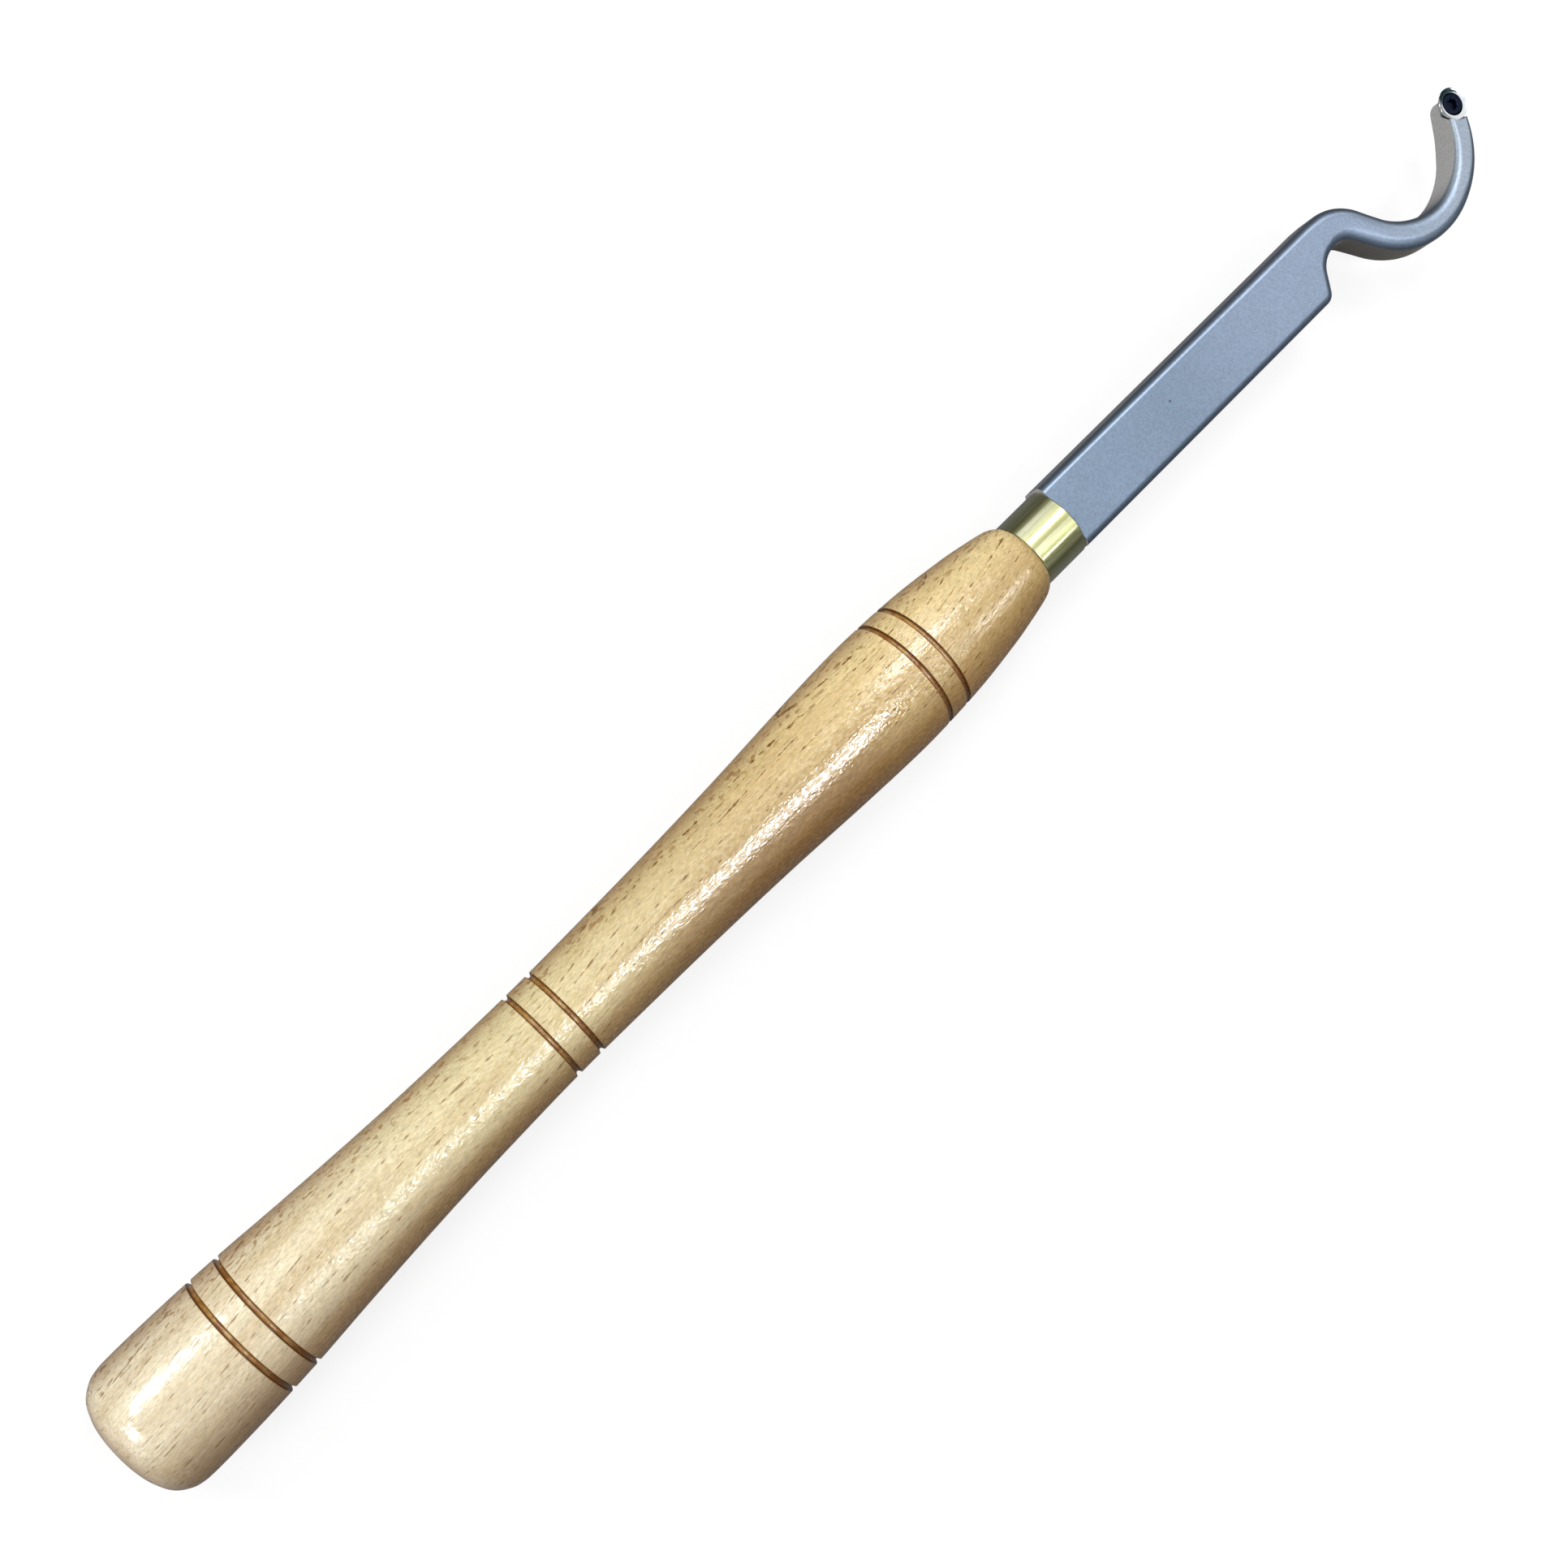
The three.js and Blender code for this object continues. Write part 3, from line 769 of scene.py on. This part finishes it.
def make_handle():
    line = smooth_line([(x * HANDLE_LENGTH, r * HANDLE_RADIUS) for x, r in HANDLE_OUTLINE], 12)
    dome = [p for p in line if p[0] < BUTT_DOME]
    count = int((HANDLE_LENGTH - BUTT_DOME - 1) / STATION)
    stations = {round(BUTT_DOME + STATION * k, 3) for k in range(count)}
    stations |= {round(p[0], 3) for p in line if p[0] > HANDLE_LENGTH - FRONT_DOME}
    for share in GROOVE_PLACES:
        middle = share * HANDLE_LENGTH
        stations = {s for s in stations if abs(s - middle) > GROOVE_REACH}
        stations |= {round(middle + GROOVE_REACH * k / GROOVE_STEPS, 3)
                     for k in range(-GROOVE_STEPS, GROOVE_STEPS + 1)}
    profile = dome + [(s, along_line(line, s) - groove_at(s)) for s in sorted(stations)]
    tenon_end = FERRULE_END - TENON_SETBACK
    bore_end = SHOULDER - TANG_LENGTH - BORE_END_GAP
    bore = TANG_RADIUS + GLUE_GAP
    tenon = FERRULE_BORE - FERRULE_FIT
    profile += [(HANDLE_LENGTH, tenon), (tenon_end, tenon), (tenon_end, bore), (bore_end, bore),
                (bore_end, 0)]
    obj = turned("beech_handle", profile, HANDLE_SIDES, LATHE)
    mark(obj, "scorch", LATHE,
         lambda x, r: max(0.0, min(1.0, (SCORCH_REACH - nearest_groove(x)) / SCORCH_FADE)))
    mark(obj, "char", LATHE,
         lambda x, r: math.exp(-((nearest_groove(x) - CHAR_MIDDLE) / CHAR_SPREAD) ** 2))
    return obj


def make_ferrule():
    start, end = HANDLE_LENGTH + FERRULE_FIT, FERRULE_END

    def rounded(k):
        """How far along and how far in a rounded rim is, from its outside to its end."""
        turn = k / FERRULE_STEPS * math.pi / 2
        return FERRULE_EDGE * (1 - math.sin(turn)), FERRULE_EDGE * (1 - math.cos(turn))

    rims = [rounded(k) for k in range(FERRULE_STEPS + 1)]
    profile = [(start, FERRULE_BORE)]
    profile += [(start + far, FERRULE_RADIUS - into) for far, into in rims[::-1]]
    profile += [(end - far, FERRULE_RADIUS - into) for far, into in rims]
    profile += [(end, FERRULE_BORE + BORE_EDGE), (end - BORE_EDGE, FERRULE_BORE),
                (start, FERRULE_BORE)]
    return turned("brass_ferrule", profile, FERRULE_SIDES, LATHE)


def arc(place, heading, radius, turn, step=math.radians(2)):
    """Places along an arc that turns left for a positive turn, each with its heading."""
    side = math.copysign(1, turn)
    middle_x = place[0] - side * radius * math.sin(heading)
    middle_y = place[1] + side * radius * math.cos(heading)
    steps = math.ceil(abs(turn) / step)
    places = []
    for k in range(1, steps + 1):
        angle = heading + turn * k / steps
        places.append((middle_x + side * radius * math.sin(angle),
                       middle_y - side * radius * math.cos(angle), angle))
    return places


def neck_middle_line():
    """The middle of the neck from its root to its nose, each place with its heading."""
    line = [(SHOULDER + NECK_START, BAR_LEFT - NECK_ROOT_WIDTH / 2, 0.0)]

    def run_on(length, parts):
        x, y, heading = line[-1]
        for k in range(1, parts + 1):
            far = length * k / parts
            line.append((x + far * math.cos(heading), y + far * math.sin(heading), heading))

    run_on(NECK_ROOT_STRAIGHT, 3)
    line.extend(arc(line[-1], line[-1][2], *FIRST_BEND))
    run_on(NECK_STRAIGHT, 6)
    line.extend(arc(line[-1], line[-1][2], *HOOK))
    line.extend(arc(line[-1], line[-1][2], *REACH))
    run_on(NOSE_STRAIGHT, 4)
    return line


def neck_side(side):
    """Places on one side of the neck, each with its heading, how deep its upper edge rolls
    and how far in."""
    line = neck_middle_line()

    def even_line(shares, whole):
        last = len(shares) - 1
        return smooth_line([(k / last, share * whole) for k, share in enumerate(shares)], 8)

    widths = even_line(NECK_LEFT if side > 0 else NECK_RIGHT, NECK_ROOT_WIDTH / 2)
    edges = even_line(NECK_EDGES, BAR_EDGE)
    rolls = even_line(NECK_ROLLS, BAR_EDGE)
    runs = [0.0]
    for a, b in zip(line, line[1:]):
        runs.append(runs[-1] + math.hypot(b[0] - a[0], b[1] - a[1]))
    places = []
    for (x, y, heading), run in zip(line, runs):
        half, deep, far = (along_line(what, run / runs[-1]) for what in (widths, edges, rolls))
        places.append((x - side * half * math.sin(heading), y + side * half * math.cos(heading),
                       heading, deep, far))
    return places


def bar_outline():
    """The bar and neck seen from above, counter-clockwise."""
    inner = neck_side(-1)[3:]
    outer = neck_side(1)
    apex, tip = inner[0], inner[-1]
    sawn_off = SHOULDER - TANG_ROOT * 2
    foot = (apex[0] - NOTCH_RADIUS * math.sin(NOTCH_CLIMB),
            apex[1] - NOTCH_RADIUS * (1 - math.cos(NOTCH_CLIMB)))
    corner_top = BAR_RIGHT + BAR_CORNER * (1 - math.cos(NOTCH_CLIMB))
    corner_end = foot[0] - (foot[1] - corner_top) / math.tan(NOTCH_CLIMB)
    corner = (corner_end - BAR_CORNER * math.sin(NOTCH_CLIMB), BAR_RIGHT)
    step = math.radians(5)
    lower = [(sawn_off, BAR_RIGHT), corner]
    lower += arc(corner, 0, BAR_CORNER, NOTCH_CLIMB, step)
    lower.append(foot)
    lower += arc(foot, NOTCH_CLIMB, NOTCH_RADIUS, -NOTCH_CLIMB, step)[:-1]
    outline = [(p[0], p[1], BAR_EDGE, BAR_EDGE) for p in lower]
    outline += [(p[0], p[1], *p[3:]) for p in inner]
    outline += [(p[0], p[1], *tip[3:]) for p in arc(tip, tip[2], NOSE_HALF, math.pi, step)[:-1]]
    outline += [(p[0], p[1], *p[3:]) for p in outer[::-1]]
    outline.append((sawn_off, BAR_LEFT, BAR_EDGE, BAR_EDGE))
    return outline


def seat_matrix():
    """The insert's own place: its underside is at height 0 and its axis is Z, in millimetres."""
    x, y, heading = neck_middle_line()[-1]
    return (TOOL @ Matrix.Translation((x, y, INSERT_TOP)) @ Matrix.Rotation(heading, 4, "Z")
            @ Matrix.Translation((SEAT_REACH, 0, 0)) @ Matrix.Rotation(SEAT_LEAN, 4, "X")
            @ Matrix.Translation((0, 0, -INSERT_THICKNESS)))


def block(name, low, high, place):
    """A plain box, for the floor and to cut with."""
    corners = [(x, y, z) for x in (low[0], high[0]) for y in (low[1], high[1])
               for z in (low[2], high[2])]
    faces = [(0, 1, 3, 2), (4, 6, 7, 5), (0, 4, 5, 1), (2, 3, 7, 6), (0, 2, 6, 4), (1, 5, 7, 3)]
    return piece_from(name, corners, faces, place)


def make_bar():
    bar = rounded_plate("swan_neck_steel", bar_outline(), BAR_THICKNESS, BAR_EDGE, EDGE_STEPS, TOOL)
    # sawn off square at the shoulder, with the tang let into its end
    join_or_cut(bar, block("saw", (SHOULDER - 8, -20, -12), (SHOULDER, 20, 12), TOOL), "DIFFERENCE")
    tang_end, root = SHOULDER - TANG_LENGTH, SHOULDER + TANG_ROOT
    tang = turned("tang", [
        (tang_end, 0), (tang_end, TANG_RADIUS - TANG_CHAMFER),
        (tang_end + TANG_CHAMFER, TANG_RADIUS), (root, TANG_RADIUS), (root, 0),
    ], TANG_SIDES, LATHE)
    join_or_cut(bar, tang, "UNION")
    # the pocket that the insert sits in
    seat = seat_matrix()
    wide = INSERT_RADIUS + POCKET_GAP
    pocket = turned("pocket", [
        (-SEAT_GAP, 0), (-SEAT_GAP, INSERT_FOOT + POCKET_GAP),
        (INSERT_THICKNESS - INSERT_LAND, wide), (BAR_THICKNESS, wide), (BAR_THICKNESS, 0),
    ], POCKET_SIDES, seat)
    join_or_cut(bar, pocket, "DIFFERENCE")
    # the relief below the nose
    x, y, heading = neck_middle_line()[-1]
    rise = math.atan2(NOSE_RELIEF_RISE, NOSE_RELIEF_LENGTH)
    tip = (x + NOSE_HALF * math.cos(heading), y + NOSE_HALF * math.sin(heading),
           NOSE_RELIEF_RISE - BAR_THICKNESS / 2)
    slope = (TOOL @ Matrix.Translation(tip) @ Matrix.Rotation(heading, 4, "Z")
             @ Matrix.Rotation(-rise, 4, "Y"))
    join_or_cut(bar, block("heel", (-26, -12, -10), (12, 12, 0), slope), "DIFFERENCE")
    # the hole for the screw, right through
    hole = SCREW_SHANK + THREAD_GAP
    tapping = turned("tapping", [(-14, 0), (-14, hole), (1, hole), (1, 0)], HOLE_SIDES, seat)
    join_or_cut(bar, tapping, "DIFFERENCE")
    return bar


def make_insert():
    top, rim, foot = INSERT_THICKNESS, INSERT_RADIUS, INSERT_FOOT
    sink = rim - INSERT_RIM
    hole_top = top - (sink - INSERT_HOLE) / math.tan(SINK_ANGLE)
    # up the outside, a hair inside the true cone, with its edges broken
    profile = [(0, INSERT_HOLE), (0, foot - 0.1), (0.1, foot + 0.06),
               (top - INSERT_LAND, rim - 0.015), (top - INSERT_EDGE, rim),
               (top, rim - INSERT_EDGE), (top, rim - CUP_START)]
    # the ring is ground into a shallow cup
    profile += [(top - CUP_DEPTH * math.sin(math.pi / 2 * k / (CUP_STEPS + 1)),
                 rim - CUP_START - (INSERT_RIM - 2 * CUP_START) * k / CUP_STEPS)
                for k in range(1, CUP_STEPS + 1)]
    profile += [(top - CUP_DEPTH, sink), (hole_top, INSERT_HOLE), (0, INSERT_HOLE)]
    seat = seat_matrix()
    obj = turned("round_insert", profile, INSERT_SIDES, seat)
    # all that lies inside the ring, but not the underside
    mark(obj, "sunk", seat, lambda height, r: float(height > 0.2 and r < sink + 0.01))
    return obj


def make_screw():
    head_top = INSERT_THICKNESS - SCREW_SINK
    cone_top = head_top - SCREW_HEAD_EDGE
    neck = cone_top - (SCREW_HEAD - SCREW_SHANK) / math.tan(SINK_ANGLE)
    end = head_top - SCREW_LENGTH
    thread_start, thread_end = end + SCREW_TIP, neck - THREAD_RUNOUT
    steps = int((thread_end - thread_start) / (THREAD_PITCH / 10))
    thread = [(thread_start + k * (thread_end - thread_start) / steps, SCREW_SHANK)
              for k in range(steps + 1)]

    def ridge(height, angle):
        """The thread's groove, which fades out at both ends."""
        if not thread_start <= height <= thread_end:
            return 0
        turn = (height / THREAD_PITCH - angle / (2 * math.pi)) % 1
        fade = min(1, (height - thread_start) / 0.5, (thread_end - height) / THREAD_RUNOUT)
        return -THREAD_DEPTH * abs(2 * turn - 1) * max(fade, 0)

    profile = [(end, 0), (end, SCREW_SHANK - SCREW_TIP), *thread, (neck, SCREW_SHANK),
               (cone_top, SCREW_HEAD), (head_top - 0.06, SCREW_HEAD), (head_top, SCREW_HEAD - 0.08),
               (head_top, 0)]
    seat = seat_matrix()
    screw = turned("clamp_screw", profile, SCREW_SIDES, seat, ridge)

    # the six-lobed socket: a tapered hole with a bevelled mouth, as how wide it is against
    # the star, and how high, from its bottom to above the head
    star = []
    for k in range(SOCKET_SIDES):
        angle = 2 * math.pi * k / SOCKET_SIDES
        radius = SOCKET_RADIUS - SOCKET_LOBE * (1 - math.cos(SOCKET_LOBES * angle))
        star.append((radius * math.cos(angle), radius * math.sin(angle)))
    levels = [(0.9, head_top - SOCKET_DEPTH), (1.0, head_top - 0.2), (1.12, head_top + 0.02),
              (1.12, head_top + 1)]
    points = [(wide * x, wide * y, height) for wide, height in levels for x, y in star]
    faces = [list(range(SOCKET_SIDES)), list(range(3 * SOCKET_SIDES, 4 * SOCKET_SIDES))]
    for level in range(3):
        for k in range(SOCKET_SIDES):
            a = level * SOCKET_SIDES + k
            b = level * SOCKET_SIDES + (k + 1) % SOCKET_SIDES
            faces.append([a, b, b + SOCKET_SIDES, a + SOCKET_SIDES])
    join_or_cut(screw, piece_from("socket", points, faces, seat), "DIFFERENCE")
    return screw


def put(obj, node, body, material, sharp_angle):
    """Finishes a piece and lets it stand for its CAD node."""
    keep_inside(obj, *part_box(node))
    obj.data.materials.clear()
    obj.data.materials.append(material)
    shade(obj, sharp_angle)
    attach(obj, body)
    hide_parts(node)


put(make_handle(), "handle", "tool", beech_finish(), 50)
put(make_ferrule(), "ferrule", "tool", brass_finish(), 50)
put(make_bar(), "swan_neck_bar", "tool", blasted_steel_finish(), 28)
put(make_insert(), "cutter_insert", "cutter", carbide_finish(), 30)
put(make_screw(), "insert_screw", "screw", screw_finish(), 30)


# ---- studio
FLOOR_REACH = 3000
FLOOR_THICKNESS = 20
FLOOR_GREY = (0.24, 0.24, 0.24, 1)
# ways toward the dark places that only gloss sees, each with the cosine where it begins
DARK_CORNERS = [((0.668, -0.567, 0.486), 0.905), ((0.389, -0.527, 0.7575), 0.955)]
CAMERA_LENS = 48.45
CAMERA_SENSOR = 36
CAMERA_SPOT = (100.41, 51.04, 492.36)
CAMERA_RIGHT = Vector((0.69207, -0.686328, 0.223591))
CAMERA_UP = Vector((0.688295, 0.720778, 0.082033))
CAMERA_BACK = Vector((-0.217461, 0.097124, 0.971225))


def seen_directly(tree, in_gloss):
    """1 for rays that should meet the white backdrop: from the camera, or through glass.
    Off a gloss it is in_gloss."""
    path = add(tree, "ShaderNodeLightPath")
    gloss = times(tree, path.outputs["Is Glossy Ray"], in_gloss)
    either = sum_of(tree, "MAXIMUM", path.outputs["Is Camera Ray"], gloss)
    return sum_of(tree, "MAXIMUM", either, path.outputs["Is Transmission Ray"])


def make_floor():
    under = Matrix.Translation((0, 0, cad_box[0][2])) @ Matrix.Diagonal((MM, MM, MM, 1))
    floor = block("floor", (-FLOOR_REACH, -FLOOR_REACH, -FLOOR_THICKNESS),
                  (FLOOR_REACH, FLOOR_REACH, 0), under)
    material = bpy.data.materials.new("pale floor")
    material.use_nodes = True
    tree = material.node_tree
    tree.nodes.remove(tree.nodes["Principled BSDF"])
    pale = add(tree, "ShaderNodeBsdfDiffuse", {"Color": FLOOR_GREY})
    # it glows a little, but not in gloss, so that the round sides keep their depth beside the
    # shadow, and more where the lamps no longer reach
    far = on_places(tree, "LENGTH", {0: add(tree, "ShaderNodeTexCoord").outputs["Object"]}, "Value")
    strength = times(tree, seen_directly(tree, 0.0), between(tree, far, 0.5, 2.2, 0.79, 1.0))
    glow = add(tree, "ShaderNodeEmission", {"Color": WHITE, "Strength": strength})
    both = add(tree, "ShaderNodeAddShader", {0: pale.outputs[0], 1: glow.outputs[0]})
    tree.links.new(both.outputs[0], tree.nodes["Material Output"].inputs["Surface"])
    floor.data.materials.append(material)


def make_backdrop():
    world = bpy.data.worlds.new("white studio")
    bpy.context.scene.world = world
    world.use_nodes = True
    tree = world.node_tree
    background = tree.nodes["Background"]
    # what lights the tool comes more from its left than from its right
    toward = add(tree, "ShaderNodeTexCoord").outputs["Generated"]
    _, to_left, to_top = apart(tree, toward)
    room = between(tree, to_left, -0.9, 0.9, 0.03, 0.36)
    # what glosses mirror is dimmer low down, and dark in two places to the right of the nose
    dark = 0.0
    for corner, reach in DARK_CORNERS:
        near = on_places(tree, "DOT_PRODUCT", {0: toward, 1: corner}, "Value")
        dark = sum_of(tree, "MAXIMUM", between(tree, near, reach, reach + 0.025), dark)
    mirrored = times(tree, between(tree, to_top, 0.0, 0.45, 0.06, 1.0),
                     sum_of(tree, "MULTIPLY_ADD", dark, -0.94, 1.0))
    unseen = sum_of(tree, "SUBTRACT", 1.0, seen_directly(tree, 1.0))
    level = sum_of(tree, "MULTIPLY_ADD", unseen, room, seen_directly(tree, mirrored))
    tree.links.new(level, background.inputs["Strength"])
    mirror = add(tree, "ShaderNodeLightPath").outputs["Is Glossy Ray"]
    tree.links.new(blend(tree, times(tree, dark, mirror), WHITE, DARK_CORNER),
                   background.inputs["Color"])


def softbox(name, aim, lean_left, lean_nose, distance, size, radiance, in_gloss=True, in_matt=True):
    """A soft light aimed at a place along the tool, from how far it leans to the left and
    toward the nose. Its distance and size are metres, the size along the tool and then
    across it, and its radiance is what a mirror would show of it."""
    left, nose = math.radians(lean_left), math.radians(lean_nose)
    cross_way = Vector((0, math.cos(left), -math.sin(left)))
    upward = Vector((0, math.sin(left), math.cos(left)))
    along = Vector((1, 0, 0))
    way = along * math.sin(nose) + upward * math.cos(nose)
    long_way = along * math.cos(nose) - upward * math.sin(nose)
    lamp = bpy.data.lights.new(name, "AREA")
    lamp.shape = "RECTANGLE"
    lamp.size, lamp.size_y = size
    lamp.energy = radiance * math.pi * size[0] * size[1]
    obj = bpy.data.objects.new(name, lamp)
    turn = Matrix((long_way, cross_way, way)).transposed().to_4x4()
    obj.matrix_world = Matrix.Translation(spot(aim, 0, HANDLE_RADIUS) + way * distance) @ turn
    obj.visible_glossy = in_gloss
    obj.visible_diffuse = in_matt
    bpy.context.scene.collection.objects.link(obj)


softbox("over the butt", 21, 43.3, -10, 1.3, (0.3, 0.42), 10.5)
softbox("before the butt", 7, 16, -38, 1.3, (0.44, 0.4), 9.0)
softbox("over the waist", 160, -21, 7, 1.3, (0.27, 0.34), 11.5)
softbox("over the belly", 254, 22, 22, 1.3, (0.32, 0.32), 13.0)
softbox("past the nose", 275, -35, 36, 0.5, (0.13, 0.08), 13.0)
softbox("gleam on the butt", 21, 43.3, -10, 1.3, (0.3, 0.42), 8.0, in_matt=False)
softbox("gleam before the butt", 7, 16, -38, 1.3, (0.5, 0.46), 24.0, in_matt=False)
softbox("gleam on the waist", 160, -22, 11, 1.3, (0.22, 0.4), 26.0, in_matt=False)
softbox("gleam on the belly", 254, 22, 22, 1.3, (0.32, 0.32), 24.0, in_matt=False)
softbox("gleam past the nose", 275, -35, 36, 0.5, (0.13, 0.08), 14.0, in_matt=False)
softbox("high strip for the ferrule", 297, 54, 22, 1.3, (0.08, 0.7), 5.5)
softbox("low strip for the ferrule", 297, -17, 22, 1.3, (0.06, 0.5), 9.0)
softbox("lowest strip for the ferrule", 297, -44, 22, 1.3, (0.06, 0.16), 19.0)
softbox("fill from the left", 160, 50, 0, 1.8, (1.2, 0.6), 1.2, in_gloss=False)
softbox("fill from behind the butt", 160, 0, -68, 1.9, (0.8, 0.8), 2.0)


def make_camera():
    """The photographer's place: above the middle of the handle and to its left, looking
    a little toward the nose, with the tool drawn from lower left to upper right."""
    camera = bpy.data.cameras.new("camera")
    camera.lens = CAMERA_LENS
    camera.sensor_width = CAMERA_SENSOR
    camera.clip_start = 0.01
    obj = bpy.data.objects.new("camera", camera)
    turn = Matrix((CAMERA_RIGHT, CAMERA_UP, CAMERA_BACK)).transposed().to_4x4()
    obj.matrix_world = Matrix.Translation(spot(*CAMERA_SPOT)) @ turn
    bpy.context.scene.collection.objects.link(obj)
    bpy.context.scene.camera = obj


make_floor()
make_backdrop()
make_camera()
bpy.context.scene.view_settings.view_transform = "Standard"
